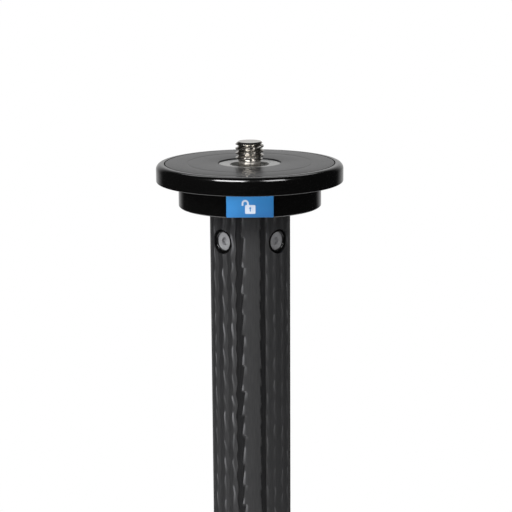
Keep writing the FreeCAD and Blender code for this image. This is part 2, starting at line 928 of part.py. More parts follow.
def pivot_bolt():
    head_start = -ear_outside.value - d.bolt_head_height.value
    length = 2 * ear_outside.value + d.pivot_nut_height.value
    shank = along(d.bolt_radius.value, length, at_y(-ear_outside.value, 0), OUT)
    head = along(d.bolt_head_radius.value, d.bolt_head_height.value, at_y(head_start, 0), OUT)
    socket_depth = d.bolt_socket_depth.value
    socket = hex_prism(d.bolt_socket_width.value, socket_depth)
    socket.rotate(FreeCAD.Vector(0, 0, 0), FreeCAD.Vector(1, 0, 0), -90)
    socket.translate(at_y(head_start, 0))
    return shank.fuse(head).removeSplitter().cut(socket)


def pivot_nut():
    nut = hex_prism(d.pivot_nut_width.value, d.pivot_nut_height.value)
    nut.rotate(FreeCAD.Vector(0, 0, 0), FreeCAD.Vector(1, 0, 0), -90)
    nut.translate(at_y(ear_outside.value, 0))
    bore = d.bolt_radius.value + d.fit_gap.value
    return nut.cut(along(bore, d.pivot_nut_height.value, at_y(ear_outside.value, 0), OUT))


def pivot_bolts():
    keep_shape("pivot_bolts", at_pivots(pivot_bolt), at_spider)


def pivot_nuts():
    keep_shape("pivot_nuts", at_pivots(pivot_nut), at_spider)


# Legs, each drawn about its pivot with +Z up the leg and +X outwards

def leg_placement(azimuth):
    direction = math.radians(azimuth)
    radius = d.leg_circle.value
    place = FreeCAD.Vector(radius * math.cos(direction), radius * math.sin(direction), pivot_height)
    lean = FreeCAD.Rotation(FreeCAD.Vector(0, 1, 0), -d.leg_spread.value)
    heading = FreeCAD.Rotation(UP, azimuth)
    return FreeCAD.Placement(place, heading.multiply(lean))


cup_top = -d.shoulder_cup_top
cup_low = cup_top - d.shoulder_cup_depth
upper_top = cup_top - d.shoulder_floor
middle_top = upper_top - d.tube_top_step
lower_top = middle_top - d.tube_top_step
foot_centre = -d.leg_length
foot_top = foot_centre + d.foot_height
lower_end = foot_centre + d.foot_floor
lower_lock_top = foot_top + d.foot_gap + d.lock_height
upper_lock_top = lower_lock_top + d.section_gap + d.lock_height
upper_end = upper_lock_top - d.tube_seat
middle_end = lower_lock_top - d.tube_seat


def shoulder(name, place):
    body = new_body(name + "_shoulder")
    half = d.knuckle_half_width
    turned(body, [
        (zero, cup_top - d.shoulder_floor),
        (d.upper_tube_radius + d.fit_gap, cup_top - d.shoulder_floor),
        (d.upper_tube_radius + d.fit_gap, cup_low),
        (d.shoulder_cup_radius, cup_low),
        (d.shoulder_cup_radius, cup_top),
        (half, -d.knuckle_radius - d.shoulder_waist),
        (zero, -d.knuckle_radius - d.shoulder_waist),
    ])
    pad_across(body, "XZ_Plane", lambda sketch: circle(sketch, zero, zero, d.knuckle_radius), half)
    pad_across(body, "XZ_Plane", lambda sketch: outline(sketch, [
        (-d.knuckle_radius, zero),
        (d.knuckle_radius, zero),
        (half, -d.knuckle_radius - d.shoulder_web),
        (-half, -d.knuckle_radius - d.shoulder_web),
    ]), half)
    pad_across(body, "XZ_Plane", lambda sketch: rectangle(
        sketch, (-d.stop_head_back, zero), (d.stop_head_front, d.stop_head_top),
    ), d.stop_head_half_width)
    slot_low = d.stop_low - d.stop_slot_gap
    slot_high = d.stop_low + d.stop_thickness + d.stop_slot_gap
    pocket_across(body, "XZ_Plane", lambda sketch: rectangle(
        sketch, (-d.stop_head_back - d.cut_past, slot_low),
        (d.stop_head_front + d.cut_past, slot_high),
    ), d.stop_half_width + d.stop_slot_gap)
    pocket_across(body, "XZ_Plane", lambda sketch: circle(
        sketch, zero, zero, d.bolt_radius + d.fit_gap,
    ), half)
    keep(body.Label, body, place)


def angle_stop(name, place):
    body = new_body(name + "_angle_stop")
    high = d.stop_low + d.stop_thickness
    pad_across(body, "XZ_Plane", lambda sketch: outline(sketch, [
        (-d.stop_reach, d.stop_low),
        (d.stop_head_front, d.stop_low),
        (d.stop_head_front, d.stop_low - d.stop_lip_rise),
        (d.stop_head_front + d.stop_lip, d.stop_low - d.stop_lip_rise),
        (d.stop_head_front + d.stop_lip, high + d.stop_lip_rise),
        (d.stop_head_front, high + d.stop_lip_rise),
        (d.stop_head_front, high),
        (-d.stop_reach, high),
    ]), d.stop_half_width)
    keep(body.Label, body, place)


def leg_tube(label, radius, low, high, place):
    body = new_body(label)
    turned(body, ring(radius - d.tube_wall, radius, low, high))
    keep(label, body, place)


# A thin sleeve on the inner tube's top that slides in the outer tube
def shim(label, radius, tube_top, place):
    body = new_body(label)
    top = tube_top - d.shim_wall
    turned(body, ring(radius, radius + d.shim_wall, top - d.shim_length, top))
    keep(label, body, place)


# A threaded end on the outer tube, with fingers that the lock ring squeezes
def ferrule(label, outer_tube, inner_tube, lock_top, place):
    body = new_body(label)
    bore = outer_tube + d.fit_gap
    outside = bore + d.ferrule_wall
    grip = inner_tube + d.lock_gap
    seat = lock_top - d.tube_seat
    finger_low = seat - d.finger_length
    turned(body, [
        (bore, lock_top + d.ferrule_show),
        (outside, lock_top + d.ferrule_show),
        (outside, seat),
        (grip + d.finger_wall, finger_low),
        (grip, finger_low),
        (grip, seat),
        (bore, seat),
    ])
    keep(label, body, place)


def lock_ring(label, outer_tube, inner_tube, lock_top, place):
    body = new_body(label)
    bore = outer_tube + d.fit_gap + d.ferrule_wall + d.lock_gap
    outside = bore + d.lock_wall
    tip = inner_tube + d.lock_gap + d.finger_wall + d.lock_gap * 2
    mouth = inner_tube + d.ring_mouth_gap
    seat = lock_top - d.tube_seat
    finger_low = seat - d.finger_length - d.lock_gap
    low = lock_top - d.lock_height
    turned(body, [
        (bore, lock_top),
        (outside - d.ring_bevel, lock_top),
        (outside, lock_top - d.ring_bevel),
        (outside, low + d.ring_bevel * 2),
        (outside - d.ring_bevel * 2, low),
        (mouth, low),
        (mouth, finger_low),
        (tip, finger_low),
        (bore, seat),
    ])
    keep(label, body, place)


def foot(name, place):
    body = new_body(name + "_foot")
    turned(body, [
        (zero, foot_centre),
        (d.foot_radius, foot_centre),
        (d.foot_radius, foot_top - d.ring_bevel),
        (d.foot_radius - d.ring_bevel, foot_top),
        (zero, foot_top),
    ])
    ball = body.newObject("PartDesign::AdditiveSphere", body.Name + "_ball")
    plane = [item for item in body.Origin.OriginFeatures if item.Role == "XY_Plane"][0]
    ball.AttachmentSupport = [(plane, "")]
    ball.MapMode = "FlatFace"
    ball.setExpression("AttachmentOffset.Base.z", foot_centre.formula)
    ball.setExpression("Radius", d.foot_radius.formula)
    bore = d.lower_tube_radius + d.fit_gap
    turned_cut(body, ring(zero, bore, lower_end, foot_top + d.cut_past))
    keep(body.Label, body, place)


def leg(name, azimuth):
    place = leg_placement(azimuth)
    upper, middle, lower = d.upper_tube_radius, d.middle_tube_radius, d.lower_tube_radius
    shoulder(name, place)
    angle_stop(name, place)
    leg_tube(name + "_upper_tube", upper, upper_end, upper_top, place)
    ferrule(name + "_upper_ferrule", upper, middle, upper_lock_top, place)
    lock_ring(name + "_upper_lock", upper, middle, upper_lock_top, place)
    leg_tube(name + "_middle_tube", middle, middle_end, middle_top, place)
    shim(name + "_middle_shim", middle, middle_top, place)
    ferrule(name + "_lower_ferrule", middle, lower, lower_lock_top, place)
    lock_ring(name + "_lower_lock", middle, lower, lower_lock_top, place)
    leg_tube(name + "_lower_tube", lower, lower_end, lower_top, place)
    shim(name + "_lower_shim", lower, lower_top, place)
    foot(name, place)


for build in (
    head_plate, plate_pad, plate_insert, head_stud, stud_nut, lock_button, lock_symbol,
    latch_plate, hub, hub_cover, hub_cover_screws, hub_screws, hub_screw_cups,
    column_tube, column_end_cap, weight_hook, hook_clip, spider, column_bushing,
    column_collet, column_lock_ring, lock_ring_grip, pivot_bolts, pivot_nuts,
):
    build()
for name, azimuth in legs.items():
    leg(name, azimuth)

doc.recompute()
for made, placement in nodes.values():
    made.Placement = placement
doc.recompute()

# Nothing is written unless every feature and every solid is sound
failed = [item.Name for item in doc.Objects if {"Invalid", "Error"} & set(item.State)]
for label, (made, placement) in nodes.items():
    if made.Shape.isNull() or not made.Shape.isValid() or not made.Shape.Solids:
        failed.append(label)
if failed:
    raise RuntimeError("unsound: " + ", ".join(failed))

for label, (made, placement) in nodes.items():
    made.Shape.exportStep("parts/%s.step" % label)
print(len(nodes), "sub-parts written")
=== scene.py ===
import json
import math
import random

import bmesh
import bpy
from mathutils import Matrix, Vector


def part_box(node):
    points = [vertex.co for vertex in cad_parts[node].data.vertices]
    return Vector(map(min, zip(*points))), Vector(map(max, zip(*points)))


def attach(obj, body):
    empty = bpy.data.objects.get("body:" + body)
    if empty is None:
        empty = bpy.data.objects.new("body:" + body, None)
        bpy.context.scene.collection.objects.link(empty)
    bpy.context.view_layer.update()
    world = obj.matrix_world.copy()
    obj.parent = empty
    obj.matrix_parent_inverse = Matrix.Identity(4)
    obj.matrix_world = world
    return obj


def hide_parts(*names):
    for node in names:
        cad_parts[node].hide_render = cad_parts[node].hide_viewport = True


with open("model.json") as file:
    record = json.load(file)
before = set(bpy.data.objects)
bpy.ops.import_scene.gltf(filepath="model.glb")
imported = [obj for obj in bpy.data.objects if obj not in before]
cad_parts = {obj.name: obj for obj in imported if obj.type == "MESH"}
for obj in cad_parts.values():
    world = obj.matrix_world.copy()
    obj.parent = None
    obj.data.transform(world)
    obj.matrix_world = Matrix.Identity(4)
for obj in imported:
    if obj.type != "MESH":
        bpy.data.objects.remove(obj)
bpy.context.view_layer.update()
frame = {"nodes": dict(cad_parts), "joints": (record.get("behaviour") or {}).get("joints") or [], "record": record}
mm = 0.001


# Camera: about 80 mm above the plate's top, looking slightly down
cameraView = {
    "distance": 501.65 * mm,     # in front of the column's axis
    "rise": 79.42 * mm,          # above the plate's top
    "pitch": 12.531,             # degrees down
    "yaw": 0.219,
    "roll": -0.364,
    "lens": 106.72,              # on a 36 mm square sensor
    "sensor": 36.0,
}


# Puts a mesh, curve, lamp or camera into the scene
def addObject(name, data):
    thing = bpy.data.objects.new(name, data)
    bpy.context.scene.collection.objects.link(thing)
    return thing


def meshFrom(name, shape):
    mesh = bpy.data.meshes.new(name)
    shape.to_mesh(mesh)
    shape.free()
    return mesh


def makeCamera(plateTop):
    pitch = math.radians(cameraView["pitch"])
    yaw = math.radians(cameraView["yaw"])
    roll = math.radians(cameraView["roll"])
    forward = Vector((
        math.sin(yaw) * math.cos(pitch),
        math.cos(yaw) * math.cos(pitch),
        -math.sin(pitch),
    ))
    level = Vector((math.cos(yaw), -math.sin(yaw), 0))
    upright = level.cross(forward)
    right = level * math.cos(roll) + upright * math.sin(roll)
    top = upright * math.cos(roll) - level * math.sin(roll)
    data = bpy.data.cameras.new("camera")
    data.sensor_width = cameraView["sensor"]
    data.lens = cameraView["lens"]
    data.clip_start = 0.01
    data.dof.use_dof = False
    camera = addObject("camera", data)
    turn = Matrix((right, top, -forward)).transposed()
    place = Vector((0, -cameraView["distance"], plateTop + cameraView["rise"]))
    camera.matrix_world = Matrix.Translation(place) @ turn.to_4x4()
    bpy.context.scene.camera = camera
    bpy.context.scene.view_settings.view_transform = "Standard"


# Materials

def linear(level):
    level /= 255
    return level / 12.92 if level <= 0.04045 else ((level + 0.055) / 1.055) ** 2.4


def colour(code):
    return tuple(linear(int(code[i:i + 2], 16)) for i in (1, 3, 5)) + (1.0,)


def addNode(tree, kind, settings=None, links=None):
    node = tree.nodes.new(kind)
    for name, value in (settings or {}).items():
        if isinstance(name, int) or name in node.inputs:
            node.inputs[name].default_value = value
        else:
            setattr(node, name, value)
    for name, source in (links or {}).items():
        tree.links.new(source, node.inputs[name])
    return node


def startMaterial(name, shader):
    material = bpy.data.materials.new(name)
    material.use_nodes = True
    tree = material.node_tree
    tree.nodes.clear()
    surface = addNode(tree, "ShaderNodeBsdfPrincipled", shader)
    output = addNode(tree, "ShaderNodeOutputMaterial")
    tree.links.new(surface.outputs[0], output.inputs["Surface"])
    return material, tree, surface


# Maps a pattern's range to the range between two values
def spread(tree, source, low, high, fromLow=0.0, fromHigh=1.0):
    return addNode(tree, "ShaderNodeMapRange", {
        "From Min": fromLow, "From Max": fromHigh, "To Min": low, "To Max": high,
    }, {"Value": source}).outputs[0]


def blendColours(tree, factor, first, second):
    mix = addNode(tree, "ShaderNodeMix", {"data_type": "RGBA"})
    mix.inputs[6].default_value = first
    mix.inputs[7].default_value = second
    tree.links.new(factor, mix.inputs[0])
    return mix.outputs[2]


# Blends two colours that other nodes give
def mixColours(tree, factor, first, second):
    mix = addNode(tree, "ShaderNodeMix", {"data_type": "RGBA"})
    for index, source in ((0, factor), (6, first), (7, second)):
        tree.links.new(source, mix.inputs[index])
    return mix.outputs[2]


def speckle(tree, grainMm, detail=3.0, rough=0.6):
    place = addNode(tree, "ShaderNodeTexCoord")
    return addNode(tree, "ShaderNodeTexNoise", {
        "Scale": 1 / (grainMm * mm), "Detail": detail, "Roughness": rough,
    }, {"Vector": place.outputs["Object"]}).outputs[0]


# Distance from the column's axis, for marks that a lathe leaves
def axisDistance(tree):
    place = addNode(tree, "ShaderNodeTexCoord")
    parts = addNode(tree, "ShaderNodeSeparateXYZ", {}, {0: place.outputs["Object"]})
    flat = addNode(tree, "ShaderNodeCombineXYZ", {}, {
        "X": parts.outputs["X"], "Y": parts.outputs["Y"],
    })
    length = addNode(tree, "ShaderNodeVectorMath", {"operation": "LENGTH"}, {0: flat.outputs[0]})
    return length.outputs["Value"], parts.outputs["Z"]


def latheMarks(tree, pitchMm):
    radius, height = axisDistance(tree)
    both = addNode(tree, "ShaderNodeMath", {"operation": "ADD"}, {0: radius, 1: height})
    along = addNode(tree, "ShaderNodeCombineXYZ", {}, {"X": both.outputs[0]})
    return addNode(tree, "ShaderNodeTexNoise", {
        "Scale": 1 / (pitchMm * mm), "Detail": 2.0, "Roughness": 0.5,
    }, {"Vector": along.outputs[0]}).outputs[0]


def bump(tree, surface, height, depthMm):
    node = addNode(tree, "ShaderNodeBump", {"Strength": 1.0, "Distance": depthMm * mm},
                   {"Height": height})
    tree.links.new(node.outputs[0], surface.inputs["Normal"])


# Hard anodised aluminium, turned: near black, glossy, with faint lathe rings
def anodisedBlack(name="anodisedAluminiumBlack", shade="#030303", rough=0.13):
    material, tree, surface = startMaterial(name, {"Metallic": 0.0, "IOR": 1.5})
    marks = latheMarks(tree, 0.25)
    grain = speckle(tree, 0.35)
    tree.links.new(blendColours(tree, grain, colour(shade), colour("#070707")),
                   surface.inputs["Base Color"])
    tree.links.new(spread(tree, marks, rough - 0.05, rough + 0.07), surface.inputs["Roughness"])
    bump(tree, surface, marks, 0.004)
    return material


# Moulded rubber: two shades mixed in patches, with a fine pebbled skin
def mouldedRubber(name, dark, light, rough=0.75, grainMm=0.35):
    material, tree, surface = startMaterial(name, {"IOR": 1.5, "Specular IOR Level": 0.35})
    grain = speckle(tree, grainMm)
    patches = speckle(tree, 6.0, 2.0)
    mixed = addNode(tree, "ShaderNodeMath", {"operation": "MULTIPLY_ADD", 1: 0.35},
                    {0: grain, 2: patches})
    tone = spread(tree, mixed.outputs[0], 0.0, 1.0, 0.4, 0.95)
    tree.links.new(blendColours(tree, tone, colour(dark), colour(light)),
                   surface.inputs["Base Color"])
    tree.links.new(spread(tree, grain, rough - 0.06, rough + 0.06), surface.inputs["Roughness"])
    bump(tree, surface, grain, 0.03)
    return material


# Turned aluminium, left bare: light satin grey with lathe rings
def turnedAluminium(name="turnedAluminium"):
    material, tree, surface = startMaterial(name, {"Metallic": 1.0})
    marks = latheMarks(tree, 0.18)
    grain = speckle(tree, 0.2)
    tree.links.new(blendColours(tree, grain, colour("#a6a6a6"), colour("#b8b8b6")),
                   surface.inputs["Base Color"])
    tree.links.new(spread(tree, marks, 0.42, 0.6), surface.inputs["Roughness"])
    bump(tree, surface, marks, 0.006)
    return material


# Stainless steel: bright, with a very faint grain
def stainlessSteel(name="stainlessSteel", shade="#c4c0ba", rough=0.2):
    material, tree, surface = startMaterial(name, {"Metallic": 1.0})
    grain = speckle(tree, 0.25)
    tree.links.new(blendColours(tree, grain, colour(shade), colour("#bdb9b3")),
                   surface.inputs["Base Color"])
    tree.links.new(spread(tree, grain, rough - 0.08, rough + 0.04), surface.inputs["Roughness"])
    bump(tree, surface, grain, 0.0004)
    return material


# Anodised aluminium, dyed blue: satin with a fine grain, with painted light that makes it paler towards its top
# left and painted shade that makes it deeper towards its bottom right
def anodisedBlue(name="anodisedAluminiumBlue"):
    material, tree, surface = startMaterial(name, {"Metallic": 0.25, "IOR": 1.5})
    grain = speckle(tree, 0.22)
    place = addNode(tree, "ShaderNodeTexCoord")
    spot = addNode(tree, "ShaderNodeSeparateXYZ", {}, {0: place.outputs["Generated"]})
    # Painted light and shade: the blue is blended paler towards the top left, as if lit from there, and deeper
    # towards the bottom right
    lean = addNode(tree, "ShaderNodeMath", {"operation": "MULTIPLY_ADD", 1: -0.5, 2: 0.4},
                   {0: spot.outputs["X"]})
    paintedLightShare = addNode(tree, "ShaderNodeMath", {"operation": "ADD", "use_clamp": True},
                    {0: spot.outputs["Z"], 1: lean.outputs[0]})
    deep = blendColours(tree, grain, colour("#1b5990"), colour("#21629b"))
    litBlue = blendColours(tree, grain, colour("#2b7ab9"), colour("#3383c3"))
    tree.links.new(mixColours(tree, paintedLightShare.outputs[0], deep, litBlue),
                   surface.inputs["Base Color"])
    tree.links.new(spread(tree, grain, 0.36, 0.48), surface.inputs["Roughness"])
    bump(tree, surface, grain, 0.006)
    return material


# Screen-printed ink: matt, very slightly blue white
def printedInk(name="printedInkWhite"):
    material, tree, surface = startMaterial(name, {"IOR": 1.45})
    grain = speckle(tree, 0.3)
    tree.links.new(blendColours(tree, grain, colour("#aab2c0"), colour("#bcc4d0")),
                   surface.inputs["Base Color"])
    tree.links.new(spread(tree, grain, 0.5, 0.65), surface.inputs["Roughness"])
    bump(tree, surface, grain, 0.004)
    return material


# How far under or over the column's skin its laminate changes, in millimetres
laminateDepths = {"darkFlute": 0.2, "ground": 0.02, "columnReach": 1.0}


# Carbon fibre laminate: matt ribs ground dark grey, darker and glossier in the flutes between them, and on the
# column's raised edges a pale painted highlight that stands for light glinting off broken fibres
def carbonLaminate(name="carbonLaminate", alongMm=5.0, acrossMm=0.28):
    material, tree, surface = startMaterial(name, {"IOR": 1.5, "Specular IOR Level": 0.3})
    place = addNode(tree, "ShaderNodeTexCoord")
    stretch = addNode(tree, "ShaderNodeMapping", {
        "Scale": (1 / (acrossMm * mm), 1 / (acrossMm * mm), 1 / (alongMm * mm)),
    }, {"Vector": place.outputs["Object"]})
    fibres = addNode(tree, "ShaderNodeTexNoise", {"Scale": 1.0, "Detail": 4.0},
                     {"Vector": stretch.outputs[0]}).outputs[0]
    grain = speckle(tree, 0.4)
    tone = spread(tree, fibres, 0.0, 1.0, 0.3, 0.7)
    ground = blendColours(tree, tone, colour("#1c1c1d"), colour("#252526"))
    darkFlute = blendColours(tree, tone, colour("#0e0e0f"), colour("#181819"))
    # Pale grey of the painted highlight on the raised edges
    paintedGlint = blendColours(tree, tone, colour("#444446"), colour("#5e5e60"))
    radius, _ = axisDistance(tree)
    skinRadius, depths = columnShape["radius"], laminateDepths
    high = spread(tree, radius, 0.0, 1.0, (skinRadius - depths["darkFlute"]) * mm,
                  (skinRadius - depths["ground"]) * mm)
    # Painted highlight: the skin turns pale where it stands up past the column's radius, standing in for light
    # glinting off broken fibres
    glintShare = spread(tree, radius, 0.0, 1.0, skinRadius * mm,
                  (skinRadius + columnShape["crest"] / 2) * mm)
    onColumn = addNode(tree, "ShaderNodeMath", {
        "operation": "LESS_THAN", 1: (skinRadius + depths["columnReach"]) * mm,
    }, {0: radius})
    glintOnColumn = addNode(tree, "ShaderNodeMath", {"operation": "MULTIPLY"},
                        {0: glintShare, 1: onColumn.outputs[0]})
    skin = mixColours(tree, high, darkFlute, ground)
    tree.links.new(mixColours(tree, glintOnColumn.outputs[0], skin, paintedGlint),
                   surface.inputs["Base Color"])
    matt = spread(tree, grain, 0.58, 0.7)
    gloss = spread(tree, grain, 0.3, 0.4)
    sheen = addNode(tree, "ShaderNodeMix", {"data_type": "FLOAT"},
                    {"Factor": high, "A": gloss, "B": matt})
    tree.links.new(sheen.outputs[0], surface.inputs["Roughness"])
    bump(tree, surface, fibres, 0.012)
    return material


# Zinc-plated steel: mid grey, satin, a little uneven
def platedSteel(name="zincPlatedSteel"):
    material, tree, surface = startMaterial(name, {"Metallic": 0.4})
    grain = speckle(tree, 0.3)
    tree.links.new(blendColours(tree, grain, colour("#6a6a6c"), colour("#9c9c9e")),
                   surface.inputs["Base Color"])
    tree.links.new(spread(tree, grain, 0.25, 0.42), surface.inputs["Roughness"])
    bump(tree, surface, grain, 0.006)
    return material


# Powder coat on cast magnesium: black, fine orange peel
def powderCoat(name="powderCoatBlack"):
    material, tree, surface = startMaterial(name, {"IOR": 1.5})
    grain = speckle(tree, 0.6, 4.0)
    tree.links.new(blendColours(tree, grain, colour("#171718"), colour("#232324")),
                   surface.inputs["Base Color"])
    tree.links.new(spread(tree, grain, 0.4, 0.58), surface.inputs["Roughness"])
    bump(tree, surface, grain, 0.035)
    return material


# Glass-filled nylon, moulded: matt black with a slight mottle
def mouldedNylon(name="mouldedNylonBlack"):
    material, tree, surface = startMaterial(name, {"IOR": 1.53})
    grain = speckle(tree, 0.5)
    tree.links.new(blendColours(tree, grain, colour("#161617"), colour("#202021")),
                   surface.inputs["Base Color"])
    tree.links.new(spread(tree, grain, 0.5, 0.66), surface.inputs["Roughness"])
    bump(tree, surface, grain, 0.012)
    return material


def makeFinishes():
    return {
        "black_anodised": anodisedBlack(),
        "pad_rubber": mouldedRubber("padRubberGrey", "#1c1c1d", "#262627", 0.32),
        "insert_metal": turnedAluminium(),
        "stud_steel": stainlessSteel(),
        "blue_button": anodisedBlue(),
        "white_print": printedInk(),
        "latch_steel": stainlessSteel("brushedLatchSteel", "#9a9896", 0.35),
        "carbon_tube": carbonLaminate(),
        "screw_steel": platedSteel(),
        "black_plastic": mouldedNylon(),
        "spider_casting": powderCoat(),
        "grip_rubber": mouldedRubber("gripRubberBlack", "#18181a", "#222224", 0.62, 0.5),
    }


def dress(piece, material):
    piece.data.materials.clear()
    piece.data.materials.append(material)


# Room

room = {
    "floorRadius": 2.0,          # metres
    "paperRadius": 0.6,          # the paper starts to fade out here
    "fadeRadius": 1.3,           # and is gone here
    "ambient": 0.6,              # plain fill light
    "darkFront": 0.012,          # what gloss sees in front of the object
    "backdropStart": 0.66,       # the mirrored white backdrop fades in behind the object
    "backdropFull": 1.0,
    "backdropLevel": 0.7,
}


def makeFloor():
    shape = bmesh.new()
    bmesh.ops.create_circle(shape, cap_ends=True, segments=96, radius=room["floorRadius"])
    floor = addObject("floor", meshFrom("floor", shape))
    material = bpy.data.materials.new("paperFloor")
    material.use_nodes = True
    tree = material.node_tree
    tree.nodes.clear()
    paper = addNode(tree, "ShaderNodeBsdfDiffuse", {"Color": colour("#f4f4f4")})
    gone = addNode(tree, "ShaderNodeBsdfTransparent", {"Color": (1, 1, 1, 1)})
    radius, _ = axisDistance(tree)
    outside = addNode(tree, "ShaderNodeMapRange", {
        "From Min": room["paperRadius"], "From Max": room["fadeRadius"],
        "interpolation_type": "SMOOTHSTEP",
    }, {"Value": radius})
    mix = addNode(tree, "ShaderNodeMixShader", {}, {
        0: outside.outputs[0], 1: paper.outputs[0], 2: gone.outputs[0],
    })
    addNode(tree, "ShaderNodeOutputMaterial", {}, {"Surface": mix.outputs[0]})
    dress(floor, material)


# White all round for the camera; gloss and glass see the white where it hangs, behind the object
def makeWorld():
    world = bpy.data.worlds.new("studio")
    bpy.context.scene.world = world
    world.use_nodes = True
    tree = world.node_tree
    tree.nodes.clear()
    path = addNode(tree, "ShaderNodeLightPath")
    heading = addNode(tree, "ShaderNodeTexCoord")
    parts = addNode(tree, "ShaderNodeSeparateXYZ", {}, {0: heading.outputs["Generated"]})
    backdrop = addNode(tree, "ShaderNodeMapRange", {
        "From Min": room["backdropStart"], "From Max": room["backdropFull"],
        "To Min": room["darkFront"], "To Max": room["backdropLevel"],
        "interpolation_type": "SMOOTHSTEP",
    }, {"Value": parts.outputs["Y"]})
    mirrored = addNode(tree, "ShaderNodeMath", {"operation": "MAXIMUM"}, {
        0: path.outputs["Is Glossy Ray"], 1: path.outputs["Is Transmission Ray"],
    })
    fill = addNode(tree, "ShaderNodeMix", {"data_type": "FLOAT", "A": room["ambient"]}, {
        "Factor": mirrored.outputs[0], "B": backdrop.outputs[0],
    })
    level = addNode(tree, "ShaderNodeMix", {"data_type": "FLOAT", "B": 1.0}, {
        "Factor": path.outputs["Is Camera Ray"], "A": fill.outputs[0],
    })
    background = addNode(tree, "ShaderNodeBackground", {"Color": (1, 1, 1, 1)},
                         {"Strength": level.outputs[0]})
    addNode(tree, "ShaderNodeOutputWorld", {}, {"Surface": background.outputs[0]})


lamps = {
    # degrees from the front (left negative), degrees up, width and height in metres, watts, and
    # the surfaces that it lights
    "leftFrontSoftbox": (-27, 37, 1.3, 0.8, 85.0, "gloss"),
    "rightFrontSoftbox": (34, 37, 0.9, 0.8, 32.0, "gloss"),
    "frontFill": (-16, -4, 1.8, 0.9, 38.0, "matt"),
    "leftSoftbox": (-66, 26, 0.6, 1.4, 60.0, "matt"),
    "rightSoftbox": (80, 32, 0.5, 1.3, 18.0, "matt"),
    "topSoftbox": (180, 56, 2.2, 0.8, 14.0, "both"),
}
lampDistance = 2.2               # metres from the head


def makeLamps(plateTop):
    target = Vector((0, 0, plateTop))
    for name, (turn, rise, width, height, watts, lights) in lamps.items():
        data = bpy.data.lights.new(name, "AREA")
        data.shape = "RECTANGLE"
        data.size = width
        data.size_y = height
        data.energy = watts
        lamp = addObject(name, data)
        lamp.visible_camera = False
        lamp.visible_glossy = lights != "matt"
        lamp.visible_diffuse = lights != "gloss"
        turn, rise = math.radians(turn), math.radians(rise)
        out = Vector((math.sin(turn) * math.cos(rise), -math.cos(turn) * math.cos(rise),
                      math.sin(rise)))
        lamp.location = target + out * lampDistance
        lamp.rotation_euler = (-out).to_track_quat("-Z", "Y").to_euler()


# Turned pieces

def smooth(x):
    x = min(1.0, max(0.0, x))
    return x * x * (3 - 2 * x)


cornerReach = 0.8                # the most of a side that one fillet may take up
weldDistance = 1e-7              # metres


# Rounds the corners of an outline: each corner is (radius, height, fillet)
def rounded(corners, steps=5):
    points = []
    count = len(corners)
    for index, (r, z, fillet) in enumerate(corners):
        corner = Vector((r, z))
        before = Vector(corners[index - 1][:2]) - corner
        after = Vector(corners[(index + 1) % count][:2]) - corner
        if not fillet:
            points.append(corner)
            continue
        half = before.angle(after) / 2
        reach = min(fillet / math.tan(half), before.length * cornerReach,
                    after.length * cornerReach)
        size = reach * math.tan(half)
        middle = (before.normalized() + after.normalized()).normalized()
        centre = corner + middle * (size / math.sin(half))
        start = corner + before.normalized() * reach - centre
        end = corner + after.normalized() * reach - centre
        turn = start.angle_signed(end)
        for step in range(steps + 1):
            angle = -turn * step / steps
            c, s = math.cos(angle), math.sin(angle)
            points.append(centre + Vector((start.x * c - start.y * s, start.x * s + start.y * c)))
    return points


def finishMesh(name, vertices, faces, sharpAngle=35):
    mesh = bpy.data.meshes.new(name)
    mesh.from_pydata(vertices, [], faces)
    shape = bmesh.new()
    shape.from_mesh(mesh)
    bmesh.ops.remove_doubles(shape, verts=shape.verts, dist=weldDistance)
    bmesh.ops.recalc_face_normals(shape, faces=shape.faces)
    shape.to_mesh(mesh)
    shape.free()
    mesh.shade_smooth()
    mesh.set_sharp_from_angle(angle=math.radians(sharpAngle))
    return addObject(name, mesh)


# A closed outline in (radius, height) goes round the Z axis of the given place
def turnedMesh(name, outline, place, around=192, ripple=None, sharpAngle=35):
    vertices = []
    faces = []
    count = len(outline)
    for step in range(around):
        angle = 2 * math.pi * step / around
        for r, z in outline:
            if ripple:
                r += ripple(r, angle, z)
            vertices.append(place @ Vector((r * math.cos(angle), r * math.sin(angle), z)))
    for step in range(around):
        here = step * count
        there = ((step + 1) % around) * count
        for index in range(count):
            after = (index + 1) % count
            faces.append((here + index, there + index, there + after, here + after))
    return finishMesh(name, vertices, faces, sharpAngle)


def fit(piece, body, slot, finishes, *nodes):
    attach(piece, body)
    if nodes:
        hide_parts(*nodes)
    dress(piece, finishes[slot])
    return piece


# Heights are from the plate's top, in millimetres
plateShape = {
    "radius": 31.3, "low": -6.05, "edge": 1.85,
    "padSeat": 28.6, "padDepth": 2.0, "insertSeat": 10.5, "insertLow": -4.5, "bore": 3.85,
    "spigot": 11.0, "spigotLow": -13.05, "grooveTop": -7.65, "grooveLow": -10.25, "groove": 8.5,
    "nutSeat": 6.55, "nutTop": -9.85,
}


def makePlate(top, finishes):
    p = plateShape
    corners = [
        (p["bore"], p["insertLow"], 0),
        (p["insertSeat"], p["insertLow"], 0),
        (p["insertSeat"], -p["padDepth"], 0.1),
        (p["padSeat"], -p["padDepth"], 0.1),
        (p["padSeat"], 0, 0.12),
        (p["radius"], 0, p["edge"]),
        (p["radius"], p["low"], 0.3),
        (p["spigot"], p["low"], 0.2),
        (p["spigot"], p["grooveTop"], 0.1),
        (p["groove"], p["grooveTop"], 0.2),
        (p["groove"], p["grooveLow"], 0.2),
        (p["spigot"], p["grooveLow"], 0.1),
        (p["spigot"], p["spigotLow"], 0.3),
        (p["nutSeat"], p["spigotLow"], 0.15),
        (p["nutSeat"], p["nutTop"], 0),
        (p["bore"], p["nutTop"], 0),
    ]
    outline = [point * mm for point in rounded(corners, 10)]
    plate = turnedMesh("roundPlate", outline, Matrix.Translation(top), around=256)
    fit(plate, "plate", "black_anodised", finishes, "head_plate")


padShape = {"inner": 10.5, "outer": 28.3, "depth": 2.0, "line": 20.8, "lineWidth": 0.3,
            "lineDepth": 0.08}


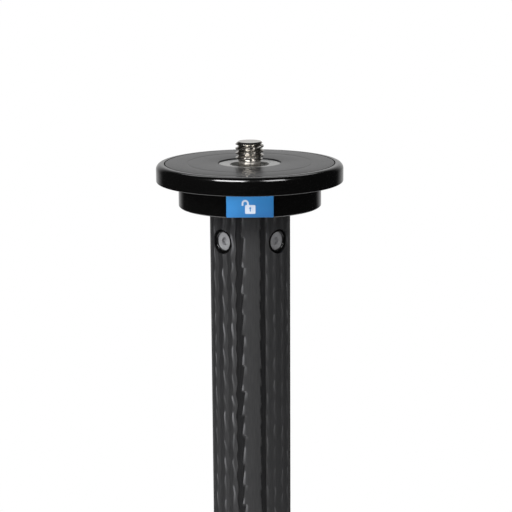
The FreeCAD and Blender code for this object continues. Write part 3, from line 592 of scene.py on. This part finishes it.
def makePad(top, finishes):
    p = padShape
    corners = [
        (p["inner"], -p["depth"], 0),
        (p["outer"], -p["depth"], 0),
        (p["outer"], 0, 0.18),
        (p["line"] + p["lineWidth"], 0, 0.05),
        (p["line"], -p["lineDepth"], 0.05),
        (p["line"] - p["lineWidth"], 0, 0.05),
        (p["inner"], 0, 0.18),
    ]
    outline = [point * mm for point in rounded(corners, 4)]
    pad = turnedMesh("ringPad", outline, Matrix.Translation(top), around=256)
    fit(pad, "plate", "pad_rubber", finishes, "plate_pad")


insertShape = {"outer": 10.45, "sink": 6.5, "bore": 3.85, "top": -0.5, "floor": -4.2,
               "low": -4.5}


def makeInsert(top, finishes):
    p = insertShape
    corners = [
        (p["bore"], p["low"], 0),
        (p["outer"], p["low"], 0),
        (p["outer"], p["top"], 0.15),
        (p["sink"], p["top"], 0.2),
        (p["sink"] - 0.2, p["floor"], 0.3),
        (p["bore"], p["floor"], 0.05),
    ]
    outline = [point * mm for point in rounded(corners)]
    insert = turnedMesh("insertRing", outline, Matrix.Translation(top))
    fit(insert, "plate", "insert_metal", finishes, "plate_insert")


# 3/8 inch stud, 16 threads to the inch, right-hand
studShape = {
    "crest": 4.7625, "root": 3.78, "neck": 3.8, "pitch": 1.5875, "top": 7.1, "topRadius": 3.9,
    "threadLow": 0.75, "lead": 0.05, "runOut": 0.5, "tail": -13.0, "around": 96, "step": 0.06,
    "slope": 1.33, "valley": 0.08, "softness": 0.35,    # of one thread's profile
}


def studRadius(angle, z):
    p = studShape
    phase = ((z / p["pitch"]) - angle / (2 * math.pi)) % 1.0
    ridge = min(1.0, max(0.0, (0.5 - abs(phase - 0.5)) * 2 * p["slope"] - p["valley"]))
    ridge = smooth(ridge) * p["softness"] + ridge * (1 - p["softness"])
    fade = min(1.0, max(0.0, (z - p["threadLow"]) / p["runOut"]))
    radius = p["root"] + (p["crest"] - p["root"]) * ridge * fade
    bevelLimit = p["topRadius"] + (p["top"] - z)
    return min(radius, bevelLimit)


def makeStud(top, finishes):
    p = studShape
    heights = [p["tail"], p["threadLow"] - p["lead"]]
    steps = int((p["top"] - p["threadLow"]) / p["step"])
    heights += [p["threadLow"] + (p["top"] - p["threadLow"]) * i / steps for i in range(steps + 1)]
    vertices = []
    faces = []
    around = p["around"]
    for z in heights:
        for step in range(around):
            angle = 2 * math.pi * step / around
            r = studRadius(angle, z) if z > p["tail"] else p["neck"]
            vertices.append(top + Vector((r * math.cos(angle), r * math.sin(angle), z)) * mm)
    for ringIndex in range(len(heights) - 1):
        for step in range(around):
            after = (step + 1) % around
            a, b = ringIndex * around, (ringIndex + 1) * around
            faces.append((a + step, a + after, b + after, b + step))
    low, high = len(vertices), len(vertices) + 1
    vertices += [top + Vector((0, 0, p["tail"])) * mm, top + Vector((0, 0, p["top"])) * mm]
    last = (len(heights) - 1) * around
    for step in range(around):
        after = (step + 1) % around
        faces.append((low, after, step))
        faces.append((high, last + step, last + after))
    stud = finishMesh("threadedStud", vertices, faces, 30)
    fit(stud, "plate", "stud_steel", finishes, "head_stud")


# Cups round the four screw heads, sunk below the column's skin
cupShape = {"outer": 4.1, "inner": 3.05, "shank": 1.6, "seat": 9.4, "floor": 10.0, "rim": 12.7,
            "drop": 10.6}


def makeCups(columnTop, finishes):
    p = cupShape
    corners = [
        (p["shank"], p["seat"], 0),
        (p["outer"], p["seat"], 0.1),
        (p["outer"], p["rim"], 0.25),
        (p["inner"], p["rim"], 0.25),
        (p["inner"], p["floor"], 0.1),
        (p["shank"], p["floor"], 0.1),
    ]
    outline = [point * mm for point in rounded(corners)]
    cups = bmesh.new()
    for index in range(4):
        turn = math.radians(columnShape["holeTurn"] + 90 * index)
        out = Vector((math.cos(turn), math.sin(turn), 0))
        middle = columnTop - Vector((0, 0, p["drop"] * mm))
        place = Matrix.Translation(middle) @ out.to_track_quat("Z", "Y").to_matrix().to_4x4()
        cup = turnedMesh("screwCup", outline, place, around=64)
        cups.from_mesh(cup.data)
        bpy.data.objects.remove(cup)
    piece = addObject("screwCups", meshFrom("screwCups", cups))
    fit(piece, "column", "black_anodised", finishes, "hub_screw_cups")


# Blue button: a block with softly broken edges
buttonShape = {"halfWidth": 7.6, "front": -24.3, "back": -20.8, "high": -6.4, "low": -14.1,
               "edge": 0.3}


def roundedBlock(name, low, high, edge, steps=3):
    shape = bmesh.new()
    bmesh.ops.create_cube(shape, size=1.0)
    middle = (Vector(low) + Vector(high)) / 2
    size = Vector(high) - Vector(low)
    for vertex in shape.verts:
        vertex.co = middle + Vector(a * b for a, b in zip(vertex.co, size))
    bmesh.ops.bevel(shape, geom=shape.edges[:], offset=edge, segments=steps, profile=0.5,
                    affect="EDGES")
    mesh = meshFrom(name, shape)
    mesh.shade_smooth()
    mesh.set_sharp_from_angle(angle=math.radians(35))
    return addObject(name, mesh)


def makeButton(top, finishes):
    p = buttonShape
    low = top + Vector((-p["halfWidth"], p["front"], p["low"])) * mm
    high = top + Vector((p["halfWidth"], p["back"], p["high"])) * mm
    button = roundedBlock("blueButton", low, high, p["edge"] * mm)
    fit(button, "latch", "blue_button", finishes, "lock_button")


# Open padlock, the sign for unlocked, printed on the button. Millimetres from the middle of the
# plate's top
symbolShape = {
    "bodyLeft": -1.56, "bodyRight": 1.72, "bodyTop": -9.98, "bodyLow": -12.83, "bodyRound": 0.3,
    "hoopX": -1.52, "hoopZ": -9.46, "hoopOut": 1.15, "hoopIn": 0.58, "hoopEnd": -10.2,
    "keyX": 0.08, "keyZ": -11.0, "keyRound": 0.33, "keyLow": -12.1, "keyHalf": 0.15,
    "ink": 0.03,
}


def arcPoints(x, z, radius, start, end, steps=16):
    turns = [math.radians(start + (end - start) * i / steps) for i in range(steps + 1)]
    return [(x + radius * math.cos(turn), z + radius * math.sin(turn)) for turn in turns]


def makeSymbol(top, finishes):
    p = symbolShape
    left, right = p["bodyLeft"] + p["bodyRound"], p["bodyRight"] - p["bodyRound"]
    low, high = p["bodyLow"] + p["bodyRound"], p["bodyTop"] - p["bodyRound"]
    body = []
    for x, z, start in ((right, high, 0), (left, high, 90), (left, low, 180), (right, low, 270)):
        body += arcPoints(x, z, p["bodyRound"], start, start + 90, 6)
    keyhole = arcPoints(p["keyX"], p["keyZ"], p["keyRound"], -60, 240)
    keyhole += [(p["keyX"] - p["keyHalf"], p["keyLow"]), (p["keyX"] + p["keyHalf"], p["keyLow"])]
    hoop = [(p["hoopX"] + p["hoopOut"], p["bodyTop"])]
    hoop += arcPoints(p["hoopX"], p["hoopZ"], p["hoopOut"], 0, 180)
    hoop += [(p["hoopX"] - p["hoopOut"], p["hoopEnd"]), (p["hoopX"] - p["hoopIn"], p["hoopEnd"])]
    hoop += arcPoints(p["hoopX"], p["hoopZ"], p["hoopIn"], 180, 0)
    hoop += [(p["hoopX"] + p["hoopIn"], p["bodyTop"])]
    curve = bpy.data.curves.new("padlock", "CURVE")
    curve.dimensions = "2D"
    curve.fill_mode = "BOTH"
    curve.extrude = p["ink"] * mm
    for outline in (body, keyhole, hoop):
        line = curve.splines.new("POLY")
        line.points.add(len(outline) - 1)
        for point, (x, z) in zip(line.points, outline):
            point.co = (x * mm, z * mm, 0, 1)
        line.use_cyclic_u = True
    holder = addObject("padlock", curve)
    bpy.context.view_layer.update()
    mesh = bpy.data.meshes.new_from_object(holder.evaluated_get(
        bpy.context.evaluated_depsgraph_get()))
    bpy.data.objects.remove(holder)
    place = Matrix.Translation(top + Vector((0, buttonShape["front"], 0)) * mm)
    mesh.transform(place @ Matrix.Rotation(math.radians(90), 4, "X"))
    symbol = addObject("padlockSymbol", mesh)
    fit(symbol, "latch", "white_print", finishes, "lock_symbol")


# Column: ground ribs with ragged edges stand over darker flutes
columnShape = {
    "radius": 13.49, "wall": 1.45, "around": 480, "fineStep": 0.5, "fineLength": 128.0,
    "coarseStep": 1.5, "edge": 0.8, "seed": 27, "fade": (25, 75),
    "hole": 4.15, "holeDrop": 10.6, "holeTurn": 45.0, "holeAround": 64,
    "crest": 0.06, "crestWidth": 2.6, "crestSpread": 4.0, "crestLean": 0.6,
}

# Flutes: left and right edge in degrees from the front, depth in millimetres, how much of the
# depth is left further down, the kind of each edge, and how far fibres stand up past the flute
flutes = [
    (-20.8, -11.6, 0.34, 1.0, "wave", "saw", 1.0),
    (-35.5, -28.5, 0.13, 0.8, "wave", "wave", 0.9),
    (-53.0, -43.5, 0.13, 0.8, "wave", "wave", 0.9),
    (-71.0, -63.0, 0.12, 0.8, "wave", "wave", 0.8),
    (14.0, 21.6, 0.30, 1.0, "nick", "calm", 0.35),
    (27.5, 34.0, 0.07, 0.6, "calm", "wave", 0.35),
    (39.5, 49.0, 0.07, 0.6, "calm", "wave", 0.35),
    (56.0, 64.0, 0.07, 0.6, "calm", "wave", 0.5),
]

# Kinds of edge: how far it strays, in degrees, and the length of one stray, in millimetres
edgeKinds = {"saw": (3.0, 6.0, 11.0), "nick": (1.5, 5.0, 10.0), "wave": (1.4, 3.0, 5.0),
             "calm": (0.5, 5.0, 12.0)}
# Shares of that reach: how far a saw's tooth goes out and back, and how far a wave goes. The
# drop is the length in which a tooth steps back, in millimetres
edgeShares = {"tooth": (0.5, 1.0), "back": (0.3, 0.9), "wave": (0.4, 1.0), "drop": 0.5}

# Standing fibres: length and gap in millimetres, share of the full height, and how quickly a
# fibre rises and fades
fibreShape = {"length": (4, 9), "gap": (0, 3), "height": (0.3, 1.0), "rise": 6, "fade": 1.2}

# Flutes round the back: degrees where they start and end, ranges of width, gap and depth
backFlutes = {"start": 70.0, "end": 275, "width": (6, 9), "gap": (6, 10), "depth": (0.08, 0.14)}


# How far an edge strays at each depth. A saw widens the rib slowly downwards and then steps back
def strayingEdge(draw, depths, kind, widen):
    reach, low, high = edgeKinds[kind]
    knots = [(-1.0, 0.0)]
    side = 1
    while knots[-1][0] < depths[-1]:
        depth = knots[-1][0] + draw.uniform(low, high)
        if kind in ("saw", "nick"):
            knots.append((depth, widen * reach * draw.uniform(*edgeShares["tooth"])))
            knots.append((depth + edgeShares["drop"],
                          -widen * reach * draw.uniform(*edgeShares["back"])))
        else:
            knots.append((depth, side * reach * draw.uniform(*edgeShares["wave"])))
            side = -side
    strays = []
    at = 0
    for depth in depths:
        while knots[at + 1][0] < depth:
            at += 1
        (z0, v0), (z1, v1) = knots[at], knots[at + 1]
        share = (depth - z0) / (z1 - z0)
        strays.append(v0 + (v1 - v0) * (share if kind in ("saw", "nick") else smooth(share)))
    return strays


# Broken fibres that stand up beside a flute: each starts high and narrow and fades downwards.
# Gives for each depth the share of the height and how far down its own length it is
def standingFibres(draw, depths):
    p = fibreShape
    spans = [(0.0, draw.uniform(*p["length"]), draw.random())]
    while spans[-1][1] < depths[-1]:
        start = spans[-1][1] + draw.uniform(*p["gap"])
        spans.append((start, start + draw.uniform(*p["length"]), draw.uniform(*p["height"])))
    fibres = []
    at = 0
    for depth in depths:
        while spans[at][1] < depth:
            at += 1
        start, end, height = spans[at]
        share = (depth - start) / (end - start)
        rise = smooth(share * p["rise"]) * (1 - share) ** p["fade"] if share > 0 else 0.0
        fibres.append((height * rise, max(0.0, share)))
    return fibres


# The flutes that the photograph doesn't show are drawn at random round the back
def allFlutes(draw):
    p = backFlutes
    found = list(flutes)
    turn = p["start"]
    while turn < p["end"]:
        width = draw.uniform(*p["width"])
        found.append((turn, turn + width, draw.uniform(*p["depth"]), 0.8, "wave", "calm", 0.5))
        turn += width + draw.uniform(*p["gap"])
    return found


def columnDepths(length):
    p = columnShape
    depths = [0.0]
    while depths[-1] < length:
        step = p["fineStep"] if depths[-1] < p["fineLength"] else p["coarseStep"]
        depths.append(min(length, depths[-1] + step))
    return depths


# How far the skin is sunk all round at one row of the column; a standing fibre counts negative
def sunkRow(cuts, row, depth):
    p = columnShape
    around = p["around"]
    lower = smooth((depth - p["fade"][0]) / (p["fade"][1] - p["fade"][0]))
    sunk = [0.0] * around
    for left, right, deep, kept, leftStray, rightStray, crest, fibres in cuts:
        low, high = left + leftStray[row], right + rightStray[row]
        depthHere = deep * (1 + (kept - 1) * lower)
        height, share = fibres[row]
        crestWidth = p["crestWidth"] + p["crestSpread"] * share
        first = math.floor((low - p["edge"]) * around / 360)
        last = math.ceil((high + crestWidth) * around / 360)
        for step in range(first, last + 1):
            turn = 360 * step / around
            inside = min(turn - low, high - turn)
            sink = depthHere * smooth(inside / p["edge"] + 0.5)
            past = (turn - high) / crestWidth
            if 0 < past < 1:
                lean = math.sin(math.pi * past ** p["crestLean"])
                sink -= crest * p["crest"] * height * lean
            if abs(sink) > abs(sunk[step % around]):
                sunk[step % around] = sink
    return sunk


# One ring of the column's vertices, counted from the front
def columnRing(top, radii, depth):
    ring = []
    for step, r in enumerate(radii):
        angle = math.radians(360 * step / len(radii) - 90)
        ring.append(top + Vector((r * math.cos(angle), r * math.sin(angle), -depth)) * mm)
    return ring


def makeColumn(top, length, finishes):
    p = columnShape
    draw = random.Random(p["seed"])
    depths = columnDepths(length)
    cuts = []
    for left, right, deep, kept, leftKind, rightKind, crest in allFlutes(draw):
        cuts.append((left, right, deep, kept, strayingEdge(draw, depths, leftKind, 1),
                     strayingEdge(draw, depths, rightKind, -1), crest,
                     standingFibres(draw, depths)))
    around = p["around"]
    vertices = []
    for row, depth in enumerate(depths):
        radii = [p["radius"] - sink for sink in sunkRow(cuts, row, depth)]
        vertices += columnRing(top, radii, depth)
    bore = [p["radius"] - p["wall"]] * around
    vertices += columnRing(top, bore, length) + columnRing(top, bore, 0.0)
    faces = []
    rows = len(depths) + 2
    for row in range(rows):
        here, below = row * around, ((row + 1) % rows) * around
        for step in range(around):
            after = (step + 1) % around
            faces.append((here + after, here + step, below + step, below + after))
    column = finishMesh("flutedColumn", vertices, faces, 50)
    drillHoles(column, top)
    fit(column, "column", "carbon_tube", finishes, "column_tube")


# The four screw holes
def drillHoles(column, top):
    p = columnShape
    drills = bmesh.new()
    for index in range(4):
        angle = math.radians(p["holeTurn"] + 90 * index)
        out = Vector((math.cos(angle), math.sin(angle), 0))
        middle = top + out * p["radius"] * mm - Vector((0, 0, p["holeDrop"] * mm))
        place = Matrix.Translation(middle) @ out.to_track_quat("Z", "Y").to_matrix().to_4x4()
        bmesh.ops.create_cone(drills, cap_ends=True, segments=p["holeAround"],
                              radius1=p["hole"] * mm, radius2=p["hole"] * mm,
                              depth=4 * p["wall"] * mm, matrix=place)
    drill = addObject("drills", meshFrom("drills", drills))
    cut = column.modifiers.new("holes", "BOOLEAN")
    cut.operation = "DIFFERENCE"
    cut.solver = "MANIFOLD"
    cut.object = drill
    bpy.context.view_layer.update()
    cutMesh = bpy.data.meshes.new_from_object(column.evaluated_get(
        bpy.context.evaluated_depsgraph_get()))
    column.modifiers.clear()
    column.data = cutMesh
    bpy.data.objects.remove(drill)
    cutMesh.shade_smooth()
    cutMesh.set_sharp_from_angle(angle=math.radians(50))


# A leg's own frame: +Z up the leg from its pivot, +X outwards
def legPlace(name):
    joints = {joint["name"]: joint for joint in frame["joints"]}
    fold = joints[name + "_leg_fold"]
    side = Vector(fold["axis"]).normalized()
    rise = -Vector(joints[name + "_middle_slide"]["axis"]).normalized()
    turn = Matrix((side.cross(rise), side, rise)).transposed()
    return Matrix.Translation(Vector(fold["pos_m"])) @ turn.to_4x4()


# Lowest and highest point and greatest radius of a CAD node, seen in a given place
def spanOf(node, place):
    back = place.inverted()
    corners = [back @ vertex.co for vertex in frame["nodes"][node].data.vertices]
    heights = [corner.z for corner in corners]
    return min(heights), max(heights), max(math.hypot(corner.x, corner.y) for corner in corners)


gripShape = {
    "skin": 0.4, "endFade": 1.5, "ribWidth": 2.2, "bandStep": 1.4, "pointsPerRib": 8,
    "lockWall": 2.7, "legRibs": 20, "legDepth": 0.7, "margin": 3.5,
    "legTop": 1.2, "legLow": 2.2, "legBand": 6, "tubeGap": 0.6, "coneLow": 1.9, "coneHigh": 15,
    "columnWall": 2.0, "columnRibs": 28, "columnDepth": 0.6, "columnMargin": 1.8,
    "columnRound": 0.9, "columnBand": 4,
}


# Rounded ribs round a grip, between its two smooth ends
def ribbed(outer, low, high, ribs, depth, margin):
    skin, fade = gripShape["skin"] * mm, gripShape["endFade"] * mm

    def ripple(r, angle, z):
        if r < outer - skin:
            return 0.0
        ends = smooth((z - low - margin) / fade) * smooth((high - margin - z) / fade)
        wave = abs(math.sin(angle * ribs / 2))
        return -depth * ends * (1 - smooth(wave * gripShape["ribWidth"]))
    return ripple


# Corners up a straight wall, close enough for the ribs to fade in
def wallPoints(radius, high, low, step):
    count = max(1, int((high - low) / step))
    return [Vector((radius, high + (low - high) * index / count)) for index in range(1, count)]


def makeLegLock(name, node, body, inner, place, finishes):
    g = gripShape
    low, high, outer = (value / mm for value in spanOf(node, place))
    bore, mouth, band = outer - g["lockWall"], inner + g["tubeGap"], g["legBand"]
    top = rounded([(bore, high, 0), (outer, high, g["legTop"]), (outer, high - band, 0)], 5)[:-1]
    bottom = rounded([(outer, low + band, 0), (outer, low, g["legLow"]), (mouth, low, 0)], 6)[1:]
    wall = wallPoints(outer, top[-1].y, bottom[0].y, g["bandStep"])
    inside = [Vector((mouth, low + g["coneLow"])), Vector((bore, low + g["coneHigh"]))]
    outline = [point * mm for point in top + wall + bottom + inside]
    ripple = ribbed(outer * mm, low * mm, high * mm, g["legRibs"], g["legDepth"] * mm,
                    g["margin"] * mm)
    lock = turnedMesh(name, outline, place, around=g["legRibs"] * g["pointsPerRib"],
                      ripple=ripple)
    fit(lock, body, "grip_rubber", finishes, node)


footShape = {"wall": 2.3, "bore": 10.75, "boreDepth": 22.0, "grooves": (4.5, 9.0, 13.5),
             "grooveShift": 2, "grooveDepth": 0.9, "grooveHalf": 0.9, "ballSteps": 14}


def makeFoot(name, place, finishes):
    p = footShape
    low, high, outer = (value / mm for value in spanOf(name + "_foot", place))
    centre = low + outer
    corners = [(p["bore"], high - p["boreDepth"], 0), (p["bore"], high, 0.5), (outer, high, 1.0)]
    for drop in p["grooves"]:
        middle = high - drop - p["grooveShift"]
        corners += [
            (outer, middle + p["grooveHalf"], 0.2),
            (outer - p["grooveDepth"], middle, 0.3),
            (outer, middle - p["grooveHalf"], 0.2),
        ]
    points = rounded(corners + [(outer, centre, 0), (0, low, 0), (0, high - p["boreDepth"], 0)], 3)
    arc = []
    for step in range(1, p["ballSteps"]):
        turn = math.pi / 2 * step / p["ballSteps"]
        arc.append(Vector((outer * math.cos(turn), centre - outer * math.sin(turn))))
    outline = [point * mm for point in points[:-2] + arc + points[-2:]]
    foot = turnedMesh(name + "RubberFoot", outline, place, around=96)
    fit(foot, name + "_lower", "grip_rubber", finishes, name + "_foot")


def makeLegs(finishes):
    for name in ("rear", "left", "right"):
        place = legPlace(name)
        middle = spanOf(name + "_middle_tube", place)[2] / mm
        lower = spanOf(name + "_lower_tube", place)[2] / mm
        makeLegLock(name + "UpperGrip", name + "_upper_lock", name + "_upper_ring", middle,
                    place, finishes)
        makeLegLock(name + "LowerGrip", name + "_lower_lock", name + "_lower_ring", lower,
                    place, finishes)
        makeFoot(name, place, finishes)


def makeColumnGrip(finishes):
    g = gripShape
    place = Matrix.Identity(4)
    low, high, outer = (value / mm for value in spanOf("lock_ring_grip", place))
    inner, fillet, band = outer - g["columnWall"], g["columnRound"], g["columnBand"]
    top = rounded([(inner, high, 0), (outer, high, fillet), (outer, high - band, 0)], 5)[:-1]
    bottom = rounded([(outer, low + band, 0), (outer, low, fillet), (inner, low, 0)], 5)[1:]
    wall = wallPoints(outer, top[-1].y, bottom[0].y, g["bandStep"])
    outline = [point * mm for point in top + wall + bottom]
    ripple = ribbed(outer * mm, low * mm, high * mm, g["columnRibs"], g["columnDepth"] * mm,
                    g["columnMargin"] * mm)
    grip = turnedMesh("columnGrip", outline, place, around=g["columnRibs"] * g["pointsPerRib"],
                      ripple=ripple)
    fit(grip, "column_lock", "grip_rubber", finishes, "lock_ring_grip")


def makeHead(finishes):
    top = Vector((0, 0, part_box("plate_pad")[1].z))
    makePlate(top, finishes)
    makePad(top, finishes)
    makeInsert(top, finishes)
    makeStud(top, finishes)
    makeButton(top, finishes)
    makeSymbol(top, finishes)
    return top


def dressNodes(finishes):
    for part in frame["record"]["subparts"]:
        dress(frame["nodes"][part["node"]], finishes[part["material_slot"]])


finishes = makeFinishes()
dressNodes(finishes)
print("finishes ready")
plateTop = makeHead(finishes)
print("head made")
columnLow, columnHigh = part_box("column_tube")
makeColumn(Vector((0, 0, columnHigh.z)), (columnHigh.z - columnLow.z) / mm, finishes)
print("column made")
makeCups(Vector((0, 0, columnHigh.z)), finishes)
makeColumnGrip(finishes)
makeLegs(finishes)
print("legs made")
makeCamera(plateTop.z)
makeFloor()
makeWorld()
makeLamps(plateTop.z)
print("room ready")
